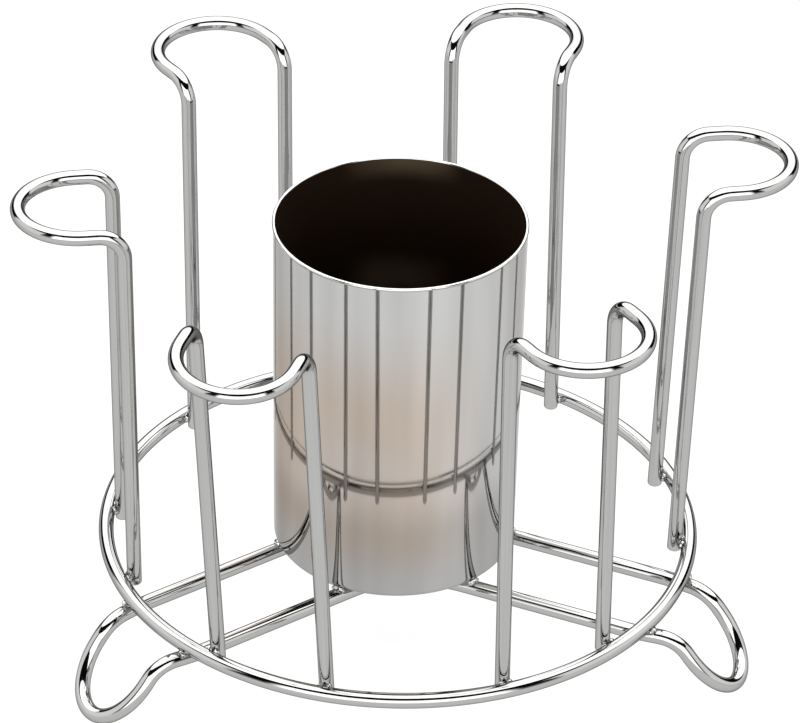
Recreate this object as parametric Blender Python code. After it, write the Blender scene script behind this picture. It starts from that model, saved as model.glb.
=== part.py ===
"""Wire tumbler stand with a cutlery cup in the middle, modelled in metres with +Z up.

The table is the plane z = 0. Six bent wires stand inside a ring, and each ends in a flat loop
that an upturned tumbler hangs on. The ring lies on a closed three-armed wire whose arms bend
down outside it into feet, and the cup stands on the middle of that wire. The real pieces are
welded where they meet; here each keeps a small gap. Every piece is made about the ring's axis,
and at the end the whole stand is set with the middle of its box over the origin.
"""
import math

import bmesh
import bpy
from mathutils import Matrix, Vector

MM = 0.001
GAP = 0.3 * MM

# Wires. A wire's cross-section is a polygon whose flats touch the round wire.
WIRE_SIDES = 8
LOOP_WIRE = 5.4 * MM
FOOT_WIRE = 5.6 * MM
RING_WIRE = 5.6 * MM
FLAT_TO_CORNER = 1 / math.cos(math.pi / WIRE_SIDES)
BEND_STEPS = 5

# Base ring
RING_RADIUS = 108 * MM
RING_SEGMENTS = 60

# Where the ring's axis stands, so that the middle of the whole stand's box is at the origin
AXIS_PLACE = Vector((-0.7 * MM, -4.1 * MM, 0))

# Turn of the whole stand about its axis, in degrees. At 0 a loop would point along +X and a
# foot along +Y.
STAND_TURN = 7

# Foot wire: three arms of two wires each. Every arm ends in a U that slopes down to the table
# and is a little narrower and longer than half a circle.
ARM_ANGLES = tuple(STAND_TURN + even for even in (90, 210, 330))
ARM_HALF_WIDTH = 18 * MM
ARM_NARROWS_FROM = 98 * MM
ARM_BEND_START = 110.5 * MM
ARM_BEND_RADIUS = 14 * MM
ARM_SLOPE = math.radians(50)
ARM_SLOPE_LENGTH = 1.5 * MM
TIP_HALF_WIDTH = 15.8 * MM
TIP_LENGTH = 21.7 * MM
# An odd number of steps leaves one level stretch at the tip, which rests on the table
TIP_STEPS = 11
TIP_REACH = TIP_LENGTH * math.cos(math.pi / 2 / TIP_STEPS)
# Radius of the bend between each arm and the next one round
ARM_CORNER_RADIUS = 40 * MM

# Tumbler loops, anticlockwise from the right: name, then degrees past an even sixth of a turn,
# outward lean, sideways lean and skew of the flat loop, in degrees, and extra height. They are
# set by hand, so each stands a little off its even place.
LOOPS = (
    ("tumbler_loop_right", 0.8, 1.5, 1, 4.5, 4.5 * MM),
    ("tumbler_loop_back_right", 1, -0.4, 0.6, 1, 5 * MM),
    ("tumbler_loop_back_left", 1, 0.5, 0.4, -1, 5 * MM),
    ("tumbler_loop_left", 2.5, 0.6, -1.5, -1, 0),
    ("tumbler_loop_front_left", -2.5, 2, -2.5, 8, -2.5 * MM),
    ("tumbler_loop_front_right", -2.8, -1.1, 0, -1.5, 0.5 * MM),
)
STEM_HALF_SPACING = 21.7 * MM
LOOP_HEIGHT = 143 * MM
LOOP_REACH = 35.2 * MM
LOOP_BEND_RADIUS = 9 * MM

# Cutlery cup, a little off the stand's axis: radii are outer ones
CUP_OFFSET = Vector((-1.5 * MM, 1 * MM, 0))
CUP_TOP_RADIUS = 45.5 * MM
CUP_BASE_RADIUS = 44.6 * MM
CUP_HEIGHT = 133.5 * MM
CUP_WALL = 1.0 * MM
CUP_CORNER = 3 * MM
CUP_RIM_PROUD = 0.3 * MM
CUP_RIM_HEIGHT = 1.2 * MM
CUP_SEGMENTS = 64

# Heights that follow from the pieces resting on each other
FOOT_DROP = (ARM_BEND_RADIUS * (1 - math.cos(ARM_SLOPE))
             + (ARM_SLOPE_LENGTH + TIP_REACH) * math.sin(ARM_SLOPE))
FOOT_WIRE_Z = FOOT_DROP + FOOT_WIRE / 2
RING_Z = FOOT_WIRE_Z + FOOT_WIRE / 2 + RING_WIRE / 2 + GAP
STEM_FOOT_Z = RING_Z - RING_WIRE / 2
CUP_BASE_Z = FOOT_WIRE_Z + FOOT_WIRE / 2 + GAP
# Both stems of a loop touch the ring from inside, so the line between them is a chord
STEM_RADIUS = RING_RADIUS - (RING_WIRE + LOOP_WIRE) / 2 * FLAT_TO_CORNER - GAP
STEM_CHORD = math.sqrt(STEM_RADIUS ** 2 - STEM_HALF_SPACING ** 2)


def clear_scene():
    for obj in list(bpy.data.objects):
        bpy.data.objects.remove(obj, do_unlink=True)


def metal(name, colour, roughness):
    material = bpy.data.materials.new(name)
    material.use_nodes = True
    shader = material.node_tree.nodes["Principled BSDF"]
    shader.inputs["Base Color"].default_value = (*colour, 1)
    shader.inputs["Metallic"].default_value = 1
    shader.inputs["Roughness"].default_value = roughness
    return material


def add_object(name, mesh_data, material):
    """Make an object from a bmesh, with its faces pointing out and its round faces smooth."""
    bmesh.ops.recalc_face_normals(mesh_data, faces=mesh_data.faces)
    mesh = bpy.data.meshes.new(name)
    mesh_data.to_mesh(mesh)
    mesh_data.free()
    mesh.shade_smooth()
    mesh.set_sharp_from_angle(angle=math.radians(50))
    mesh.materials.append(material)
    obj = bpy.data.objects.new(name, mesh)
    bpy.context.collection.objects.link(obj)
    return obj


def arc(centre, start, end, angle, steps):
    """Points from centre + start, turning towards centre + end, two square radius vectors."""
    turns = [angle * step / steps for step in range(steps + 1)]
    return [centre + start * math.cos(turn) + end * math.sin(turn) for turn in turns]


def tangents_along(path, closed):
    """The direction of travel at each point of a path."""
    last = len(path) - 1
    result = []
    for index in range(len(path)):
        before = path[index - 1] if closed or index > 0 else path[index]
        after = path[(index + 1) % len(path)] if closed or index < last else path[index]
        into = (path[index] - before).normalized()
        out = (after - path[index]).normalized()
        result.append((into + out).normalized())
    return result


def level_sides_along(tangents):
    """A level direction square to each tangent. An upright stretch takes its neighbour's."""
    sides = [tangent.cross(Vector((0, 0, 1))) for tangent in tangents]
    upright = [side.length < 0.01 for side in sides]
    first = upright.index(False)
    for index in range(first):
        sides[index] = sides[first]
    for index in range(first + 1, len(sides)):
        if upright[index]:
            sides[index] = sides[index - 1]
    return [side.normalized() for side in sides]


def sweep_wire(path, diameter, closed):
    """A solid wire along a path, with level flats above and below it wherever it runs level."""
    result = bmesh.new()
    corner = diameter / 2 * FLAT_TO_CORNER
    turns = [2 * math.pi * (step + 0.5) / WIRE_SIDES for step in range(WIRE_SIDES)]
    tangents = tangents_along(path, closed)
    sections = []
    for point, tangent, side in zip(path, tangents, level_sides_along(tangents)):
        normal = side.cross(tangent)
        spokes = [(side * math.cos(turn) + normal * math.sin(turn)) * corner for turn in turns]
        sections.append([result.verts.new(point + spoke) for spoke in spokes])
    for index in range(len(path) if closed else len(path) - 1):
        here = sections[index]
        there = sections[(index + 1) % len(path)]
        for step in range(WIRE_SIDES):
            after = (step + 1) % WIRE_SIDES
            result.faces.new((here[step], here[after], there[after], there[step]))
    if not closed:
        result.faces.new(sections[0])
        result.faces.new(sections[-1])
    return result


def ring_path():
    turns = [2 * math.pi * step / RING_SEGMENTS for step in range(RING_SEGMENTS)]
    return [Vector((RING_RADIUS * math.cos(t), RING_RADIUS * math.sin(t), RING_Z)) for t in turns]


def loop_path(height, skew):
    """One tumbler loop in its own frame: the origin is midway between the stems at the ring's
    height, +X points out from the stand, and +Z runs up the stems. The skew leads the flat
    loop sideways, towards +Y."""
    out, side, up = Vector((1, 0, 0)), Vector((0, 1, 0)), Vector((0, 0, 1))
    foot = side * -STEM_HALF_SPACING + up * (STEM_FOOT_Z - RING_Z)
    bend_centre = side * -STEM_HALF_SPACING + out * LOOP_BEND_RADIUS
    bend_centre += up * (height - LOOP_BEND_RADIUS)
    half = [foot]
    half += arc(bend_centre, out * -LOOP_BEND_RADIUS, up * LOOP_BEND_RADIUS,
                math.pi / 2, BEND_STEPS)
    end_centre = out * (LOOP_REACH - STEM_HALF_SPACING) + up * height
    half += arc(end_centre, side * -STEM_HALF_SPACING, out * STEM_HALF_SPACING,
                math.pi / 2, BEND_STEPS)
    mirrored = [Vector((point.x, -point.y, point.z)) for point in reversed(half[:-1])]
    return [point + side * max(point.x, 0) * math.tan(skew) for point in half + mirrored]


def arm_path(angle):
    """One arm of the foot wire, out along one side and back along the other."""
    out = Vector((math.cos(angle), math.sin(angle), 0))
    side = Vector((-math.sin(angle), math.cos(angle), 0))
    up = Vector((0, 0, 1))
    down_slope = out * math.cos(ARM_SLOPE) - up * math.sin(ARM_SLOPE)
    bend_centre = out * ARM_BEND_START + up * (FOOT_WIRE_Z - ARM_BEND_RADIUS)
    bend = arc(bend_centre, up * ARM_BEND_RADIUS, out * ARM_BEND_RADIUS, ARM_SLOPE, BEND_STEPS)
    narrows_from = out * ARM_NARROWS_FROM + up * FOOT_WIRE_Z
    level = [narrows_from.lerp(bend[0], step / BEND_STEPS) for step in range(BEND_STEPS)]
    centre_line = level + bend
    tip_centre = bend[-1] + down_slope * ARM_SLOPE_LENGTH
    shares = [index / (len(centre_line) - 1) for index in range(len(centre_line))]
    narrowing = ARM_HALF_WIDTH - TIP_HALF_WIDTH
    half_widths = [ARM_HALF_WIDTH - narrowing * share ** 2 * (3 - 2 * share) for share in shares]
    outward = [point - side * half for point, half in zip(centre_line, half_widths)]
    tip = arc(tip_centre, side * -TIP_HALF_WIDTH, down_slope * TIP_LENGTH, math.pi, TIP_STEPS)
    inward = [point + side * half for point, half in zip(centre_line, half_widths)]
    return outward + tip + inward[::-1]


def corner_path(angle):
    """The bend from the arm at this angle to the next arm, a third of a turn on."""
    middle = angle + math.pi / 3
    distance = (ARM_HALF_WIDTH + ARM_CORNER_RADIUS) / math.sin(math.pi / 3)
    centre = Vector((distance * math.cos(middle), distance * math.sin(middle), FOOT_WIRE_Z))
    across = Vector((math.sin(angle), -math.cos(angle), 0)) * ARM_CORNER_RADIUS
    inward = Vector((-math.cos(angle), -math.sin(angle), 0)) * ARM_CORNER_RADIUS
    return arc(centre, across, inward, math.pi / 3, BEND_STEPS)


def foot_wire_path():
    path = []
    for degrees in ARM_ANGLES:
        path += arm_path(math.radians(degrees))
        path += corner_path(math.radians(degrees))
    return path


def cup_profile():
    """The cup's section as (radius, height), from under its base, over the rim, to its floor."""
    flare = (CUP_TOP_RADIUS - CUP_BASE_RADIUS) / CUP_HEIGHT
    base = CUP_BASE_RADIUS - CUP_CORNER
    corner = arc(Vector((base, CUP_CORNER)), Vector((0, -CUP_CORNER)), Vector((CUP_CORNER, 0)),
                 math.pi / 2, 3)
    rim_base = CUP_HEIGHT - CUP_RIM_HEIGHT
    proud = CUP_TOP_RADIUS + CUP_RIM_PROUD
    inside_top = CUP_TOP_RADIUS - CUP_WALL
    inner_corner = CUP_CORNER - CUP_WALL / 2
    floor = base - CUP_WALL / 2
    fillet = arc(Vector((floor, CUP_WALL + inner_corner)), Vector((inner_corner, 0)),
                 Vector((0, -inner_corner)), math.pi / 2, 3)
    rim = [
        Vector((CUP_TOP_RADIUS - flare * CUP_RIM_HEIGHT, rim_base)),
        Vector((proud, rim_base + CUP_RIM_PROUD)),
        Vector((proud, CUP_HEIGHT - CUP_RIM_PROUD)),
        Vector((CUP_TOP_RADIUS, CUP_HEIGHT)),
        Vector((inside_top, CUP_HEIGHT)),
    ]
    return corner + rim + fillet


def turned_solid(profile, segments):
    """A solid of revolution whose two ends are flat discs."""
    result = bmesh.new()
    turns = [2 * math.pi * step / segments for step in range(segments)]
    circles = []
    for radius, height in profile:
        places = [(radius * math.cos(t), radius * math.sin(t), height) for t in turns]
        circles.append([result.verts.new(place) for place in places])
    for lower, upper in zip(circles, circles[1:]):
        for step in range(segments):
            after = (step + 1) % segments
            result.faces.new((lower[step], lower[after], upper[after], upper[step]))
    result.faces.new(circles[0])
    result.faces.new(circles[-1])
    return result


def build():
    clear_scene()
    bright_wire = metal("plated_wire", (0.78, 0.78, 0.76), 0.12)
    polished_steel = metal("polished_steel", (0.70, 0.67, 0.63), 0.08)

    add_object("base_ring", sweep_wire(ring_path(), RING_WIRE, closed=True), bright_wire)
    add_object("foot_wire", sweep_wire(foot_wire_path(), FOOT_WIRE, closed=True), bright_wire)

    for place_number, (name, past_even, lean_out, lean_sideways, skew, extra) in enumerate(LOOPS):
        path = loop_path(LOOP_HEIGHT + extra, math.radians(skew))
        wire = sweep_wire(path, LOOP_WIRE, closed=False)
        loop = add_object(name, wire, bright_wire)
        angle = STAND_TURN + 60 * place_number + past_even
        turn = Matrix.Rotation(math.radians(angle), 4, "Z")
        place = Matrix.Translation((STEM_CHORD, 0, RING_Z))
        lean = Matrix.Rotation(math.radians(lean_out), 4, "Y")
        sideways = Matrix.Rotation(math.radians(-lean_sideways), 4, "X")
        loop.matrix_world = turn @ place @ lean @ sideways

    cup = add_object("cutlery_cup", turned_solid(cup_profile(), CUP_SEGMENTS), polished_steel)
    cup.location = CUP_OFFSET + Vector((0, 0, CUP_BASE_Z))

    for obj in bpy.context.scene.objects:
        obj.location += AXIS_PLACE


build()
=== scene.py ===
"""Looks of the wire tumbler stand: fine chromed wires, spot welds and a polished cup.

Lengths are in metres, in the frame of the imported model. Heights and the cup's size come from
the frame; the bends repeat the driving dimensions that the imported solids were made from.
"""
import math

import bmesh
import bpy
from mathutils import Matrix, Vector, noise


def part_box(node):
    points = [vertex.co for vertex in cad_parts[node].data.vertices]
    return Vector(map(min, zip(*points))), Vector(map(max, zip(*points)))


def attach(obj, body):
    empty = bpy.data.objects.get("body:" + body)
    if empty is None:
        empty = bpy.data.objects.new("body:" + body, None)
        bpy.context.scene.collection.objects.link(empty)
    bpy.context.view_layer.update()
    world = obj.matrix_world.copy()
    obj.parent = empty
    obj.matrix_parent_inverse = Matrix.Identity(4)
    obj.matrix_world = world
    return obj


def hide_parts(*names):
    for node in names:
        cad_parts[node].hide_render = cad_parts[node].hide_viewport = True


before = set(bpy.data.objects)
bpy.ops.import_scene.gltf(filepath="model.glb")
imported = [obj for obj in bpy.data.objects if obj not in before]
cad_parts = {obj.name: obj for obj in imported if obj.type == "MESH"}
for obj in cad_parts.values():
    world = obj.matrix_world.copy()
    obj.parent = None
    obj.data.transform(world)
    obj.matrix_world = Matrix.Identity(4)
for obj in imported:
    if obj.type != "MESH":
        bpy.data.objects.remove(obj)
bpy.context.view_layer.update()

MM = 0.001
UP = Vector((0, 0, 1))

# How far the real pieces settle into each other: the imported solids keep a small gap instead
SETTLE = 0.35 * MM

# Wires
LOOP_WIRE = 5.4 * MM
FOOT_WIRE = 5.6 * MM
RING_WIRE = 5.6 * MM
# Rounding of a cut wire's end
END_ROUND = 0.9 * MM
END_ROUND_STEPS = 5
# How finely the wires are made: sides around them, steps in a bend, in a foot's tip or corner,
# in a straight stretch of foot wire, in a stem and in a loop's short straight
WIRE_SIDES = 32
BEND_STEPS = 16
TIP_STEPS = 40
ARM_STEPS = 12
STEM_STEPS = 40
SHORT_STEPS = 3
# A stretch leaning by less than this, as a slope, counts as upright
NEARLY_UPRIGHT = 0.01

# Base ring
RING_RADIUS = 108 * MM
RING_SEGMENTS = 288
ring_low, ring_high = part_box("base_ring")
RING_Z = (ring_low.z + ring_high.z) / 2 - SETTLE
AXIS_PLACE = Vector(((ring_low.x + ring_high.x) / 2, (ring_low.y + ring_high.y) / 2, 0))

# Foot wire
STAND_TURN = 7
ARM_ANGLES = tuple(STAND_TURN + even for even in (90, 210, 330))
ARM_HALF_WIDTH = 18 * MM
ARM_NARROWS_FROM = 98 * MM
ARM_BEND_START = 110.5 * MM
ARM_BEND_RADIUS = 14 * MM
ARM_SLOPE = math.radians(50)
ARM_SLOPE_LENGTH = 1.5 * MM
TIP_HALF_WIDTH = 15.8 * MM
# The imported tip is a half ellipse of 11 flat steps, and reaches to the middle of a flat one
TIP_LENGTH = 21.7 * MM * math.cos(math.pi / 22)
ARM_CORNER_RADIUS = 40 * MM
FOOT_WIRE_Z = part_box("foot_wire")[1].z - FOOT_WIRE / 2

# Tumbler loops: node, then degrees past an even sixth of a turn, outward lean, sideways lean
# and skew of the flat loop, in degrees, and extra height
LOOPS = (
    ("tumbler_loop_right", 0.8, 1.5, 1, 4.5, 4.5 * MM),
    ("tumbler_loop_back_right", 1, -0.4, 0.6, 1, 5 * MM),
    ("tumbler_loop_back_left", 1, 0.5, 0.4, -1, 5 * MM),
    ("tumbler_loop_left", 2.5, 0.6, -1.5, -1, 0),
    ("tumbler_loop_front_left", -2.5, 2, -2.5, 8, -2.5 * MM),
    ("tumbler_loop_front_right", -2.8, -1.1, 0, -1.5, 0.5 * MM),
)
STEM_HALF_SPACING = 21.7 * MM
LOOP_HEIGHT = 143 * MM
LOOP_REACH = 35.2 * MM
LOOP_BEND_RADIUS = 9 * MM
# How far the stems sink into the ring
STEM_SINK = 0.1 * MM
STEM_RADIUS = RING_RADIUS - (RING_WIRE + LOOP_WIRE) / 2 + STEM_SINK
STEM_CHORD = math.sqrt(STEM_RADIUS ** 2 - STEM_HALF_SPACING ** 2)

# Cutlery cup
cup_low, cup_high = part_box("cutlery_cup")
CUP_PLACE = Vector(((cup_low.x + cup_high.x) / 2, (cup_low.y + cup_high.y) / 2, 0))
CUP_BASE_Z = cup_low.z - SETTLE
CUP_HEIGHT = cup_high.z - cup_low.z
CUP_RIM_PROUD = 0.3 * MM
CUP_TOP_RADIUS = (cup_high.x - cup_low.x) / 2 - CUP_RIM_PROUD
CUP_BASE_RADIUS = 44.6 * MM
CUP_WALL = 1.0 * MM
CUP_CORNER = 3 * MM
CUP_RIM_HEIGHT = 1.2 * MM
# How far the wall draws in just below the lip, which leaves a fine line there
CUP_NECK = 0.02 * MM
CUP_SEGMENTS = 224
CUP_CORNER_STEPS = 12
CUP_WALL_STEPS = 64
CUP_RIM_STEPS = 16
CUP_INSIDE_STEPS = 20
CUP_FILLET_STEPS = 8

# Welds: half sizes of their lumps outward, sideways and up
STEM_WELD = Vector((1.5, 1.5, 1.9)) * MM
CROSSING_WELD = Vector((1.3, 2.1, 1.4)) * MM
CUP_WELD = Vector((1.5, 2.6, 1.3)) * MM
# The two lumps at a stem's foot: how far to the side and how far above the ring's middle
STEM_WELD_PLACES = ((1.5 * MM, 0.6 * MM), (-1.6 * MM, 0.2 * MM))
# The two lumps at a crossing: how far outside the ring's middle line
CROSSING_WELD_PLACES = (2 * MM, -2 * MM)
# The lump at each place under the edge of the cup's base: how far inside it and how far above
CUP_WELD_INSET = 0.8 * MM
CUP_WELD_RISE = 0.2 * MM
# How uneven a lump is, and how fine that is, in broad bulges and in small ones
WELD_BULGE, WELD_BULGE_FINENESS = 0.22, 1.6
WELD_GRAIN, WELD_GRAIN_FINENESS = 0.10, 4.5
# The brown of the welding heat: how strong at the weld, and how far it spreads up the cup
HEAT_STRENGTH = 0.9
HEAT_REACH = 4.5 * MM

# Colours: pairs go from the darker or plainer tone to the lighter or warmer one
CHROME_TONES = ((0.36, 0.36, 0.355, 1), (0.48, 0.48, 0.475, 1))
WELD_TONES = ((0.10, 0.085, 0.075, 1), (0.55, 0.54, 0.53, 1))
# The cup's second tone is a painted reflection of warm light
CUP_STEEL_AND_WARM_REFLECTION_TONES = ((0.47, 0.468, 0.462, 1), (0.45, 0.385, 0.33, 1))
# Inside tones: near-black painted shade, then a lighter brown painted highlight
INSIDE_SHADE_AND_HIGHLIGHT_TONES = ((0.013, 0.007, 0.004, 1), (0.13, 0.095, 0.06, 1))
# The lip's tone, lighter than the wall's steel, is a painted highlight
RIM_HIGHLIGHT_TONE = (0.58, 0.58, 0.575, 1)
HEAT_BROWN = (0.14, 0.06, 0.025, 1)
FLOOR_TONE = (0.1, 0.1, 0.1, 1)
WHITE = (1, 1, 1, 1)
# Tint of metal seen almost edge on, darker than bare metal, which leaves a fine dark outline:
# painted shade at the edges
PAINTED_DARK_OUTLINE = (0.3, 0.3, 0.3, 1)
# The cup's edge tint, below white, is a milder painted shade at its sides
CUP_EDGE_SHADE = (0.62, 0.61, 0.60, 1)
# Where the cup's warm tint, a painted reflection of warm light, starts and where it is full,
# along axes of the frame
WARM_REFLECTION_LIMITS = (("X", 0.038, 0.0), ("Z", 0.150, 0.105), ("Z", 0.030, 0.055), ("Y", 0.015, -0.02))
# Fineness of the lines that drawing leaves in a wire: across it and along it
DRAWN_LINES = (1500, 12, 1)
BUMP_HEIGHT = 0.1 * MM

# Light: brightness of the studio's dark and lit parts, and the table's glow
STUDIO_DARK = 0.005
STUDIO_LIGHT = 2.8
FLOOR_GLOW = 0.94
FLOOR_RADIUS = 6
FLOOR_SEGMENTS = 96
# A round light overhead: its tip to the back and its half width, in degrees
OVERHEAD_TIP = 28
OVERHEAD_SPREAD = 50
# Windows in front and at both sides: half widths and the height of their top edge, in degrees,
# and how bright the side ones are beside the front one
WINDOW_SPREAD = 42
SIDE_SPREAD = 30
WINDOW_TOP = 37
SIDE_LIGHT = 0.5
# How bright the low walls of the front half are beside the front window
LOW_WALL = 0.16

# Camera: turn, pitch and roll in degrees, its distance from the ring's middle, lens and
# sensor in millimetres, how far the view's centre is from the ring's middle, and the nearest
# thing it sees
CAMERA_AZIMUTH = 0.2
CAMERA_PITCH = 33.06
CAMERA_ROLL = 1.29
CAMERA_DISTANCE = 1.7056
CAMERA_LENS = 207
CAMERA_SENSOR = 36
CAMERA_SIDEWAYS = -0.6 * MM
CAMERA_RISE = 59.9 * MM
CAMERA_NEAR = 50 * MM


# --- paths -------------------------------------------------------------------------------

def arc(centre, start, end, angle, steps):
    """Points from centre + start, turning towards centre + end, two square radius vectors."""
    turns = [angle * step / steps for step in range(steps + 1)]
    return [centre + start * math.cos(turn) + end * math.sin(turn) for turn in turns]


def straight(start, end, steps):
    """Points from start to end, without either."""
    return [start.lerp(end, step / steps) for step in range(1, steps)]


def ring_path():
    turns = [2 * math.pi * step / RING_SEGMENTS for step in range(RING_SEGMENTS)]
    return [Vector((RING_RADIUS * math.cos(t), RING_RADIUS * math.sin(t), RING_Z)) for t in turns]


def loop_path(height, skew):
    """One loop in its own frame, from the foot of one stem to the foot of the other."""
    out, side = Vector((1, 0, 0)), Vector((0, 1, 0))
    foot = side * -STEM_HALF_SPACING - UP * RING_WIRE / 2
    bend_centre = side * -STEM_HALF_SPACING + out * LOOP_BEND_RADIUS
    bend_centre += UP * (height - LOOP_BEND_RADIUS)
    bend = arc(bend_centre, out * -LOOP_BEND_RADIUS, UP * LOOP_BEND_RADIUS,
               math.pi / 2, BEND_STEPS)
    end_centre = out * (LOOP_REACH - STEM_HALF_SPACING) + UP * height
    end = arc(end_centre, side * -STEM_HALF_SPACING, out * STEM_HALF_SPACING,
              math.pi / 2, BEND_STEPS)
    half = [foot] + straight(foot, bend[0], STEM_STEPS) + bend
    half += straight(bend[-1], end[0], SHORT_STEPS) + end
    mirrored = [Vector((point.x, -point.y, point.z)) for point in reversed(half[:-1])]
    return [point + side * max(point.x, 0) * math.tan(skew) for point in half + mirrored]


def arm_path(angle):
    """One arm of the foot wire, out along one side and back along the other."""
    out = Vector((math.cos(angle), math.sin(angle), 0))
    side = Vector((-math.sin(angle), math.cos(angle), 0))
    down_slope = out * math.cos(ARM_SLOPE) - UP * math.sin(ARM_SLOPE)
    bend_centre = out * ARM_BEND_START + UP * (FOOT_WIRE_Z - ARM_BEND_RADIUS)
    bend = arc(bend_centre, UP * ARM_BEND_RADIUS, out * ARM_BEND_RADIUS, ARM_SLOPE, BEND_STEPS)
    narrows_from = out * ARM_NARROWS_FROM + UP * FOOT_WIRE_Z
    centre_line = [narrows_from] + straight(narrows_from, bend[0], BEND_STEPS) + bend
    tip_centre = bend[-1] + down_slope * ARM_SLOPE_LENGTH
    shares = [index / (len(centre_line) - 1) for index in range(len(centre_line))]
    narrowing = ARM_HALF_WIDTH - TIP_HALF_WIDTH
    half_widths = [ARM_HALF_WIDTH - narrowing * share ** 2 * (3 - 2 * share) for share in shares]
    outward = [point - side * half for point, half in zip(centre_line, half_widths)]
    tip = arc(tip_centre, side * -TIP_HALF_WIDTH, down_slope * TIP_LENGTH, math.pi, TIP_STEPS)
    inward = [point + side * half for point, half in zip(centre_line, half_widths)]
    return outward + tip + inward[::-1]


def corner_path(angle):
    """The bend from the arm at this angle to the next arm, a third of a turn on."""
    middle = angle + math.pi / 3
    distance = (ARM_HALF_WIDTH + ARM_CORNER_RADIUS) / math.sin(math.pi / 3)
    centre = Vector((distance * math.cos(middle), distance * math.sin(middle), FOOT_WIRE_Z))
    across = Vector((math.sin(angle), -math.cos(angle), 0)) * ARM_CORNER_RADIUS
    inward = Vector((-math.cos(angle), -math.sin(angle), 0)) * ARM_CORNER_RADIUS
    return arc(centre, across, inward, math.pi / 3, TIP_STEPS)


def foot_wire_path():
    """The whole closed foot wire: three arms and the three bends between them."""
    path = []
    for degrees in ARM_ANGLES:
        arm = arm_path(math.radians(degrees))
        corner = corner_path(math.radians(degrees))
        if path:
            path += straight(path[-1], arm[0], ARM_STEPS)
        path += arm + straight(arm[-1], corner[0], ARM_STEPS) + corner
    return path + straight(path[-1], path[0], ARM_STEPS)


# --- meshes ------------------------------------------------------------------------------

def tangents_along(path, closed):
    """The direction of travel at each point of a path."""
    last = len(path) - 1
    result = []
    for index in range(len(path)):
        before = path[index - 1] if closed or index > 0 else path[index]
        after = path[(index + 1) % len(path)] if closed or index < last else path[index]
        into = (path[index] - before).normalized()
        out = (after - path[index]).normalized()
        result.append((into + out).normalized())
    return result


def level_sides_along(tangents):
    """A level direction square to each tangent. An upright stretch takes its neighbour's."""
    sides = [tangent.cross(UP) for tangent in tangents]
    upright = [side.length < NEARLY_UPRIGHT for side in sides]
    first = upright.index(False)
    for index in range(first):
        sides[index] = sides[first]
    for index in range(first + 1, len(sides)):
        if upright[index]:
            sides[index] = sides[index - 1]
    return [side.normalized() for side in sides]


def round_ends(path, radius):
    """(point, radius) along an open wire whose cut ends have rounded edges."""
    result = [(point, radius) for point in path]
    for end, inner in ((0, 1), (-1, -2)):
        inward = (path[inner] - path[end]).normalized()
        rounded = []
        for step in range(END_ROUND_STEPS + 1):
            turn = math.pi / 2 * step / END_ROUND_STEPS
            point = path[end] + inward * END_ROUND * (1 - math.sin(turn))
            rounded.append((point, radius - END_ROUND * (1 - math.cos(turn))))
        rounded.reverse()
        result = rounded + result[1:] if end == 0 else result[:-1] + rounded[::-1]
    return result


def sweep(path, diameter, closed):
    """A round wire along a path, with a UV map of metres around it and metres along it."""
    stations = [(point, diameter / 2) for point in path]
    if not closed:
        stations = round_ends(path, diameter / 2)
    points = [point for point, radius in stations]
    result = bmesh.new()
    uv_layer = result.loops.layers.uv.new("wire")
    turns = [2 * math.pi * step / WIRE_SIDES for step in range(WIRE_SIDES)]
    tangents = tangents_along(points, closed)
    sections = []
    lengths = [0.0]
    for index, ((point, radius), tangent, side) in enumerate(
            zip(stations, tangents, level_sides_along(tangents))):
        normal = side.cross(tangent)
        spokes = [(side * math.cos(t) + normal * math.sin(t)) * radius for t in turns]
        sections.append([result.verts.new(point + spoke) for spoke in spokes])
        after = points[(index + 1) % len(points)]
        lengths.append(lengths[-1] + (after - point).length)
    around = math.pi * diameter / WIRE_SIDES
    for index in range(len(points) if closed else len(points) - 1):
        here = sections[index]
        there = sections[(index + 1) % len(points)]
        for step in range(WIRE_SIDES):
            after = (step + 1) % WIRE_SIDES
            face = result.faces.new((here[step], here[after], there[after], there[step]))
            corners = ((step, index), (step + 1, index), (step + 1, index + 1), (step, index + 1))
            for loop, (turn, along) in zip(face.loops, corners):
                loop[uv_layer].uv = (turn * around, lengths[along])
    if not closed:
        result.faces.new(sections[0])
        result.faces.new(sections[-1])
    return result


def add_piece(name, mesh_data, materials, sharp_angle=40):
    """An object from a bmesh, smooth except at edges sharper than sharp_angle degrees."""
    bmesh.ops.recalc_face_normals(mesh_data, faces=mesh_data.faces)
    mesh = bpy.data.meshes.new(name)
    mesh_data.to_mesh(mesh)
    mesh_data.free()
    mesh.shade_smooth()
    mesh.set_sharp_from_angle(angle=math.radians(sharp_angle))
    for material in materials:
        mesh.materials.append(material)
    obj = bpy.data.objects.new(name, mesh)
    bpy.context.scene.collection.objects.link(obj)
    return obj


def finish_piece(obj, slot, *nodes):
    """Puts a piece on the model's one body, in place of the nodes it stands for."""
    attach(obj, "root")
    if nodes:
        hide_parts(*nodes)


# --- materials ---------------------------------------------------------------------------

def node_material(name):
    material = bpy.data.materials.new(name)
    material.use_nodes = True
    tree = material.node_tree
    return material, tree, tree.nodes["Principled BSDF"]


def metal_material(name, edge=None):
    """A metal; edge is its tint where it is seen almost edge on."""
    material, tree, shader = node_material(name)
    shader.inputs["Metallic"].default_value = 1
    if edge:
        shader.inputs["Specular Tint"].default_value = edge
    return material, tree, shader


def add_node(tree, kind, **settings):
    """A node with its properties, and with its inputs where a setting names one."""
    node = tree.nodes.new(kind)
    for key, value in settings.items():
        if key in node.inputs:
            node.inputs[key].default_value = value
        else:
            setattr(node, key, value)
    return node


def calculate(tree, operation, first, second):
    node = add_node(tree, "ShaderNodeMath", operation=operation)
    tree.links.new(first, node.inputs[0])
    tree.links.new(second, node.inputs[1])
    return node.outputs[0]


def object_place(tree):
    """The place on the stand, in metres: the pieces keep their origins at the frame's."""
    return add_node(tree, "ShaderNodeTexCoord").outputs["Object"]


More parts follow.
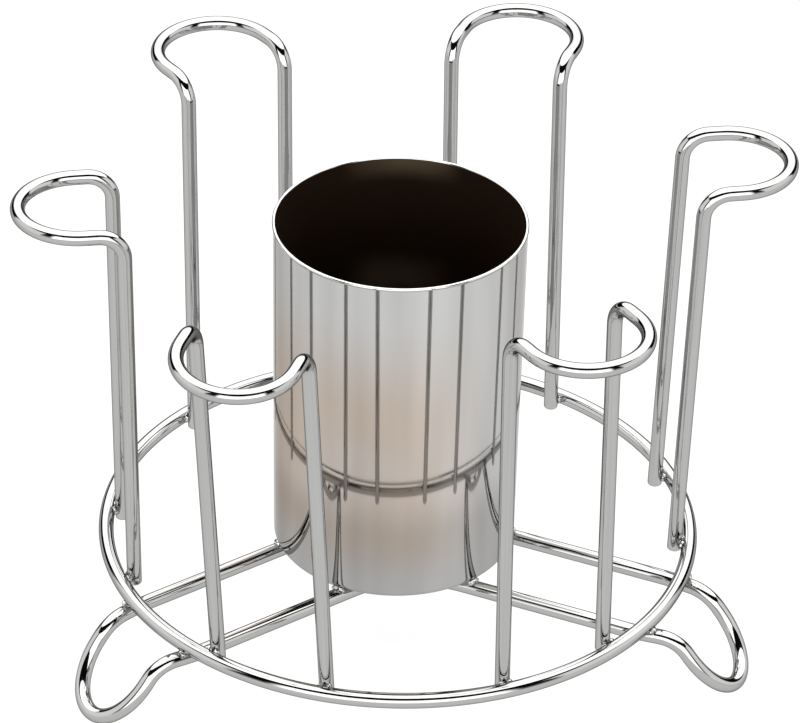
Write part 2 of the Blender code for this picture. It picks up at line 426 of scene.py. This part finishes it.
def stretch(tree, place, scale):
    node = add_node(tree, "ShaderNodeMapping", Scale=scale)
    tree.links.new(place, node.inputs["Vector"])
    return node.outputs["Vector"]


def noise_at(tree, place, scale, detail):
    node = add_node(tree, "ShaderNodeTexNoise", Scale=scale, Detail=detail)
    tree.links.new(place, node.inputs["Vector"])
    return node.outputs["Fac"]


def map_range(tree, value, first, last, first_at=0, last_at=1, interpolation="LINEAR"):
    """first where the value is first_at, last where it is last_at, and in between a blend."""
    node = add_node(tree, "ShaderNodeMapRange", interpolation_type=interpolation)
    node.inputs["From Min"].default_value = first_at
    node.inputs["From Max"].default_value = last_at
    node.inputs["To Min"].default_value = first
    node.inputs["To Max"].default_value = last
    tree.links.new(value, node.inputs["Value"])
    return node.outputs["Result"]


def smooth_step(tree, value, zero_at, top_at, top=1):
    """0 to top as the value goes from one limit to the other, with soft ends."""
    if top_at < zero_at:
        return map_range(tree, value, top, 0, top_at, zero_at, "SMOOTHSTEP")
    return map_range(tree, value, 0, top, zero_at, top_at, "SMOOTHSTEP")


def two_tones(tree, share, tones, first_at=0, second_at=1):
    """The first colour up to one share, the second from another, and a blend between."""
    ramp = add_node(tree, "ShaderNodeValToRGB")
    places = (first_at, second_at)
    for element, tone, place in zip(ramp.color_ramp.elements, tones, places):
        element.color = tone
        element.position = place
    tree.links.new(share, ramp.inputs["Fac"])
    return ramp.outputs["Color"]


def bump(tree, height, strength, distance=BUMP_HEIGHT, under=None):
    """A bump, over the normal of another one where under is given."""
    node = add_node(tree, "ShaderNodeBump", Strength=strength, Distance=distance)
    tree.links.new(height, node.inputs["Height"])
    if under:
        tree.links.new(under, node.inputs["Normal"])
    return node.outputs["Normal"]


def add_fine_wear(tree, shader, scale, smoothest, roughest):
    """Uneven roughness and a fine bump from one noise."""
    wear = noise_at(tree, object_place(tree), scale, 3)
    tree.links.new(map_range(tree, wear, smoothest, roughest), shader.inputs["Roughness"])
    tree.links.new(bump(tree, wear, 0.3), shader.inputs["Normal"])


def chrome_wire():
    """Chrome plate over drawn wire: faint lines along the wire and a slow ripple."""
    material, tree, shader = metal_material("chromed_wire", PAINTED_DARK_OUTLINE)
    link = tree.links.new
    along = add_node(tree, "ShaderNodeUVMap", uv_map="wire").outputs["UV"]
    lines = noise_at(tree, stretch(tree, along, DRAWN_LINES), 1, 3)
    ripple = noise_at(tree, object_place(tree), 90, 1)
    link(two_tones(tree, lines, CHROME_TONES), shader.inputs["Base Color"])
    link(map_range(tree, lines, 0.03, 0.09), shader.inputs["Roughness"])
    rippled = bump(tree, ripple, 0.25)
    link(bump(tree, lines, 0.08, BUMP_HEIGHT / 2, rippled), shader.inputs["Normal"])
    return material


def painted_warm_reflection_share(tree, place, clouds):
    """How much painted warm reflection the cup's steel gets: cloudy, and most at the left front
    below the middle.
    """
    split = add_node(tree, "ShaderNodeSeparateXYZ")
    tree.links.new(place, split.inputs["Vector"])
    share = smooth_step(tree, clouds, 0.05, 0.50)
    for axis, starts_at, full_at in WARM_REFLECTION_LIMITS:
        part = smooth_step(tree, split.outputs[axis], starts_at, full_at)
        share = calculate(tree, "MULTIPLY", share, part)
    return share, split.outputs["Z"]


def heat_tinted(tree, colour):
    """The colour with the brown that the welding heat left."""
    heat = add_node(tree, "ShaderNodeAttribute", attribute_name="heat").outputs["Fac"]
    mix = add_node(tree, "ShaderNodeMix", data_type="RGBA")
    mix.inputs[7].default_value = HEAT_BROWN
    tree.links.new(heat, mix.inputs["Factor"])
    tree.links.new(colour, mix.inputs[6])
    return mix.outputs[2]


def cup_bands_and_painted_shade(tree, place, height, colour):
    """The colour with soft upright bands, and painted shade darkening it near the base."""
    bands = noise_at(tree, stretch(tree, place, (1, 1, 0.08)), 55, 2)
    band = map_range(tree, bands, 0.84, 1.12, 0.3, 0.7)
    # Painted shade: the colour darkens towards the base
    painted_base_shade = map_range(tree, height, 0.82, 1.03, 0.055, 0.075, "SMOOTHSTEP")
    shaded = add_node(tree, "ShaderNodeVectorMath", operation="SCALE")
    tree.links.new(colour, shaded.inputs[0])
    tree.links.new(calculate(tree, "MULTIPLY", band, painted_base_shade), shaded.inputs["Scale"])
    return shaded.outputs["Vector"]


def cup_outside():
    """Polished steel with a slight wave, and a faint warm tint low on the left in front, a
    painted reflection of warm light.
    """
    material, tree, shader = metal_material("polished_cup_outside", CUP_EDGE_SHADE)
    link = tree.links.new
    place = object_place(tree)
    clouds = noise_at(tree, place, 16, 2)
    share, height = painted_warm_reflection_share(tree, place, clouds)
    tinted = heat_tinted(tree, two_tones(tree, share, CUP_STEEL_AND_WARM_REFLECTION_TONES))
    link(cup_bands_and_painted_shade(tree, place, height, tinted), shader.inputs["Base Color"])
    link(map_range(tree, clouds, 0.03, 0.08), shader.inputs["Roughness"])
    link(bump(tree, noise_at(tree, place, 35, 1), 0.3), shader.inputs["Normal"])
    return material


def cup_rim():
    """Polished steel, lighter than the cup's wall: a painted highlight along the lip."""
    material, tree, shader = metal_material("polished_cup_rim", PAINTED_DARK_OUTLINE)
    shader.inputs["Base Color"].default_value = RIM_HIGHLIGHT_TONE
    add_fine_wear(tree, shader, 400, 0.05, 0.14)
    return material


def cup_inside_painted_shade():
    """Dull and nearly black, painted shade in the cup's hollow, with a painted highlight of
    lighter brown high and low on the far side.
    """
    material, tree, shader = node_material("cup_inside_painted_shade")
    place = object_place(tree)
    clouds = noise_at(tree, place, 30, 3)
    split = add_node(tree, "ShaderNodeSeparateXYZ")
    tree.links.new(place, split.inputs["Vector"])
    near_rim = smooth_step(tree, split.outputs["Z"], 0.151, 0.161)
    deep = smooth_step(tree, split.outputs["Z"], 0.124, 0.108)
    far_side = smooth_step(tree, split.outputs["Y"], 0.035, 0.0425)
    # Painted highlight: lighter brown near the rim and deep down, on the far side
    painted_highlight = calculate(tree, "MULTIPLY", calculate(tree, "MAXIMUM", near_rim, deep), far_side)
    painted_highlight = calculate(tree, "MULTIPLY", painted_highlight, clouds)
    tree.links.new(two_tones(tree, painted_highlight, INSIDE_SHADE_AND_HIGHLIGHT_TONES), shader.inputs["Base Color"])
    shader.inputs["Specular IOR Level"].default_value = 0.12
    add_fine_wear(tree, shader, 60, 0.30, 0.45)
    return material


def weld_metal():
    """Lumpy weld metal under the plate, with dark flecks and a trace of heat brown."""
    material, tree, shader = metal_material("plated_weld")
    flecks = noise_at(tree, object_place(tree), 900, 2)
    tone = two_tones(tree, flecks, WELD_TONES, 0.38, 0.55)
    tree.links.new(tone, shader.inputs["Base Color"])
    add_fine_wear(tree, shader, 700, 0.10, 0.30)
    return material


# --- pieces ------------------------------------------------------------------------------

def loop_matrix(place_number):
    """From a loop's own frame to its place around the ring's axis."""
    past_even, lean_out, lean_sideways = LOOPS[place_number][1:4]
    turn = Matrix.Rotation(math.radians(STAND_TURN + 60 * place_number + past_even), 4, "Z")
    place = Matrix.Translation((STEM_CHORD, 0, RING_Z))
    lean = Matrix.Rotation(math.radians(lean_out), 4, "Y")
    sideways = Matrix.Rotation(math.radians(-lean_sideways), 4, "X")
    return turn @ place @ lean @ sideways


def make_wire(name, node, path, diameter, closed, matrix, chrome):
    """One piece of wire, swept along a path and put in its place."""
    wire = sweep(path, diameter, closed)
    wire.transform(matrix)
    finish_piece(add_piece(name, wire, [chrome]), "plated_wire", node)


def make_wires(chrome):
    to_axis = Matrix.Translation(AXIS_PLACE)
    make_wire("base_ring_wire", "base_ring", ring_path(), RING_WIRE, True, to_axis, chrome)
    make_wire("foot_wire_round", "foot_wire", foot_wire_path(), FOOT_WIRE, True, to_axis, chrome)
    for place_number, (node, *_, skew, extra) in enumerate(LOOPS):
        path = loop_path(LOOP_HEIGHT + extra, math.radians(skew))
        matrix = to_axis @ loop_matrix(place_number)
        name = node.replace("tumbler_loop", "loop_wire")
        make_wire(name, node, path, LOOP_WIRE, False, matrix, chrome)


def weld_lump(mesh_data, centre, outward, size, seed):
    """An uneven lump; size is its half length outward, sideways and up, and seed its shape."""
    turn = Matrix((outward, UP.cross(outward), UP)).transposed().to_4x4()
    made = bmesh.ops.create_icosphere(mesh_data, subdivisions=3, radius=1)
    for vertex in made["verts"]:
        broad = noise.noise(vertex.co * WELD_BULGE_FINENESS + Vector((seed, 0, 0)))
        small = noise.noise(vertex.co * WELD_GRAIN_FINENESS + Vector((0, seed, 0)))
        bulge = 1 + WELD_BULGE * broad + WELD_GRAIN * small
        grown = Vector([part * half for part, half in zip(vertex.co * bulge, size)])
        vertex.co = centre + turn @ grown


def make_stem_welds(mesh_data):
    """The welds that hold each stem's foot against the inside of the ring."""
    for place_number in range(len(LOOPS)):
        for side in (-1, 1):
            stem = loop_matrix(place_number) @ Vector((0, side * STEM_HALF_SPACING, 0))
            outward = Vector((stem.x, stem.y, 0)).normalized()
            contact = Vector((stem.x, stem.y, 0)) + outward * LOOP_WIRE / 2
            across = UP.cross(outward)
            for step, (along, rise) in enumerate(STEM_WELD_PLACES):
                centre = AXIS_PLACE + contact + across * along + UP * (RING_Z + rise)
                seed = place_number * 3.1 + side + step
                weld_lump(mesh_data, centre, outward, STEM_WELD, seed)


def make_crossing_welds(mesh_data):
    """The welds where the ring lies over the foot wire."""
    for degrees in ARM_ANGLES:
        for side in (-1, 1):
            offset = math.asin(ARM_HALF_WIDTH / RING_RADIUS) * side
            angle = math.radians(degrees) + offset
            outward = Vector((math.cos(angle), math.sin(angle), 0))
            height = RING_Z - RING_WIRE / 2
            for step, along in enumerate(CROSSING_WELD_PLACES):
                centre = AXIS_PLACE + outward * (RING_RADIUS + along) + UP * height
                seed = degrees + side + step * 2.3
                weld_lump(mesh_data, centre, outward, CROSSING_WELD, seed)


def cup_weld_places():
    """Where the foot wire passes under the edge of the cup's base."""
    path = foot_wire_path()
    centre = CUP_PLACE - AXIS_PLACE
    reach = CUP_BASE_RADIUS - CUP_WELD_INSET
    places = []
    for here, there in zip(path, path[1:] + path[:1]):
        near, far = [(point - centre).xy.length - reach for point in (here, there)]
        if near * far < 0 and here.z > FOOT_WIRE_Z - MM:
            crossing = here.lerp(there, near / (near - far))
            places.append(AXIS_PLACE + Vector((crossing.x, crossing.y, CUP_BASE_Z)))
    return places


def make_cup_welds(mesh_data):
    """The welds between the foot wire and the edge of the cup's base."""
    for number, place in enumerate(cup_weld_places()):
        outward = Vector((place.x - CUP_PLACE.x, place.y - CUP_PLACE.y, 0)).normalized()
        seed = 40.5 + number * 2.7
        weld_lump(mesh_data, place + UP * CUP_WELD_RISE, outward, CUP_WELD, seed)


def make_welds():
    """All the weld lumps, as one piece."""
    mesh_data = bmesh.new()
    make_stem_welds(mesh_data)
    make_crossing_welds(mesh_data)
    make_cup_welds(mesh_data)
    welds = add_piece("weld_lumps", mesh_data, [weld_metal()])
    finish_piece(welds, "plated_wire")


def cup_outer_profile():
    """(radius, height) up the outside, from the flat base to just below the lip."""
    base = CUP_BASE_RADIUS - CUP_CORNER
    corner = arc(Vector((base, CUP_CORNER)), Vector((0, -CUP_CORNER)), Vector((CUP_CORNER, 0)),
                 math.pi / 2, CUP_CORNER_STEPS)
    under_rim = Vector((CUP_TOP_RADIUS - CUP_NECK, CUP_HEIGHT - CUP_RIM_HEIGHT))
    return corner + straight(corner[-1], under_rim, CUP_WALL_STEPS) + [under_rim]


def cup_rim_profile():
    """The lip: a small bead, half round on top."""
    inner = CUP_TOP_RADIUS - CUP_WALL
    outer = CUP_TOP_RADIUS + CUP_RIM_PROUD
    half = (outer - inner) / 2
    centre = Vector((inner + half, CUP_HEIGHT - half))
    return arc(centre, Vector((half, 0)), Vector((0, half)), math.pi, CUP_RIM_STEPS)


def cup_inner_profile():
    """(radius, height) down the inside, from below the lip to the edge of the flat floor."""
    inner_corner = CUP_CORNER - CUP_WALL / 2
    floor = CUP_BASE_RADIUS - CUP_CORNER - CUP_WALL / 2
    fillet = arc(Vector((floor, CUP_WALL + inner_corner)), Vector((inner_corner, 0)),
                 Vector((0, -inner_corner)), math.pi / 2, CUP_FILLET_STEPS)
    top = Vector((CUP_TOP_RADIUS - CUP_WALL, CUP_HEIGHT - 2 * CUP_WALL))
    return [top] + straight(top, fillet[0], CUP_INSIDE_STEPS) + fillet


def turned(profile, materials, segments):
    """A solid of revolution closed by flat discs; materials gives each band's index."""
    result = bmesh.new()
    turns = [2 * math.pi * step / segments for step in range(segments)]
    circles = []
    for radius, height in profile:
        places = [(radius * math.cos(t), radius * math.sin(t), height) for t in turns]
        circles.append([result.verts.new(place) for place in places])
    for lower, upper, material in zip(circles, circles[1:], materials):
        for step in range(segments):
            after = (step + 1) % segments
            face = result.faces.new((lower[step], lower[after], upper[after], upper[step]))
            face.material_index = material
    result.faces.new(circles[0]).material_index = materials[0]
    result.faces.new(circles[-1]).material_index = materials[-1]
    return result


def mark_heat(mesh):
    """Writes how near each point is to a weld, for the material to tint."""
    heat = mesh.attributes.new("heat", "FLOAT", "POINT")
    places = cup_weld_places()
    for vertex, value in zip(mesh.vertices, heat.data):
        distance = min((vertex.co - place).length for place in places)
        value.value = HEAT_STRENGTH * math.exp(-(distance / HEAT_REACH) ** 2)


def make_cup():
    """The cup: its outside, lip and inside, each of its own material."""
    outer, rim, inner = cup_outer_profile(), cup_rim_profile(), cup_inner_profile()
    bands = [0] * (len(outer) - 1) + [1] * len(rim) + [2] * len(inner)
    mesh_data = turned(outer + rim + inner, bands, CUP_SEGMENTS)
    mesh_data.transform(Matrix.Translation(CUP_PLACE + UP * CUP_BASE_Z))
    cup = add_piece("cup_shell", mesh_data, [cup_outside(), cup_rim(), cup_inside_painted_shade()], 20)
    mark_heat(cup.data)
    finish_piece(cup, "polished_steel", "cutlery_cup")


# --- stage, light and camera -------------------------------------------------------------

def make_floor():
    """A pale table that glows a little, so shadows on it stay faint."""
    material, tree, shader = node_material("pale_floor")
    shader.inputs["Base Color"].default_value = FLOOR_TONE
    shader.inputs["Roughness"].default_value = 0.9
    shader.inputs["Specular IOR Level"].default_value = 0.0
    shader.inputs["Emission Color"].default_value = WHITE
    shader.inputs["Emission Strength"].default_value = FLOOR_GLOW
    mesh_data = bmesh.new()
    bmesh.ops.create_circle(mesh_data, cap_ends=True, segments=FLOOR_SEGMENTS,
                            radius=FLOOR_RADIUS)
    floor = add_piece("floor", mesh_data, [material])


def along_direction(tree, direction, axis):
    """How nearly a direction follows an axis: the cosine of the angle between them."""
    dot = add_node(tree, "ShaderNodeVectorMath", operation="DOT_PRODUCT")
    tree.links.new(direction, dot.inputs[0])
    dot.inputs[1].default_value = axis
    return dot.outputs["Value"]


def level_heading(tree, direction):
    """The compass heading of a direction, as a level direction of length 1."""
    level = add_node(tree, "ShaderNodeVectorMath", operation="MULTIPLY")
    tree.links.new(direction, level.inputs[0])
    level.inputs[1].default_value = (1, 1, 0)
    heading = add_node(tree, "ShaderNodeVectorMath", operation="NORMALIZE")
    tree.links.new(level.outputs["Vector"], heading.inputs[0])
    return heading.outputs["Vector"]


def within(tree, cosine, spread, softness, top=1):
    """top inside an angle of spread degrees, given its cosine, and 0 outside."""
    outer = math.cos(math.radians(spread + softness))
    inner = math.cos(math.radians(spread - softness))
    return smooth_step(tree, cosine, outer, inner, top)


def window_light(tree, direction, height):
    """The windows in front and at both sides, up to one level top edge."""
    heading = level_heading(tree, direction)
    in_front = within(tree, along_direction(tree, heading, (0, -1, 0)), WINDOW_SPREAD, 5)
    across = add_node(tree, "ShaderNodeMath", operation="ABSOLUTE")
    tree.links.new(along_direction(tree, heading, (1, 0, 0)), across.inputs[0])
    at_side = within(tree, across.outputs[0], SIDE_SPREAD, 3, SIDE_LIGHT)
    below_top = smooth_step(tree, height, math.sin(math.radians(WINDOW_TOP + 1)),
                            math.sin(math.radians(WINDOW_TOP - 1)))
    windows = calculate(tree, "MAXIMUM", in_front, at_side)
    return calculate(tree, "MULTIPLY", windows, below_top)


def make_world():
    """A dark studio with a round light overhead, windows, and paler walls low in front."""
    world = bpy.data.worlds.new("studio")
    bpy.context.scene.world = world
    world.use_nodes = True
    tree = world.node_tree
    direction = add_node(tree, "ShaderNodeTexCoord").outputs["Generated"]
    height = along_direction(tree, direction, (0, 0, 1))
    tip = math.radians(OVERHEAD_TIP)
    near_light = along_direction(tree, direction, (0, math.sin(tip), math.cos(tip)))
    overhead = within(tree, near_light, OVERHEAD_SPREAD, 1)
    near_half = smooth_step(tree, along_direction(tree, direction, (0, -1, 0)), -0.1, 0.2)
    low = smooth_step(tree, height, 0.3, 0.1, LOW_WALL)
    light = calculate(tree, "MAXIMUM", overhead, window_light(tree, direction, height))
    light = calculate(tree, "MAXIMUM", light, calculate(tree, "MULTIPLY", low, near_half))
    background = tree.nodes["Background"]
    background.inputs["Color"].default_value = WHITE
    brightness = map_range(tree, light, STUDIO_DARK, STUDIO_LIGHT)
    tree.links.new(brightness, background.inputs["Strength"])


def make_camera():
    """The stand seen from the front and above, with a long lens."""
    turn = Matrix.Rotation(math.radians(CAMERA_AZIMUTH), 4, "Z")
    tilt = Matrix.Rotation(math.radians(90 - CAMERA_PITCH), 4, "X")
    roll = Matrix.Rotation(math.radians(CAMERA_ROLL), 4, "Z")
    aim = Matrix.Translation(AXIS_PLACE + UP * (RING_Z + SETTLE))
    offset = Matrix.Translation((CAMERA_SIDEWAYS, CAMERA_RISE, CAMERA_DISTANCE))
    data = bpy.data.cameras.new("camera")
    data.lens = CAMERA_LENS
    data.sensor_width = CAMERA_SENSOR
    data.clip_start = CAMERA_NEAR
    camera = bpy.data.objects.new("camera", data)
    camera.matrix_world = aim @ turn @ tilt @ offset @ roll
    bpy.context.scene.collection.objects.link(camera)
    bpy.context.scene.camera = camera


def build():
    make_camera()
    make_world()
    make_floor()
    make_wires(chrome_wire())
    make_cup()
    make_welds()
    bpy.context.scene.view_settings.view_transform = "Standard"


build()
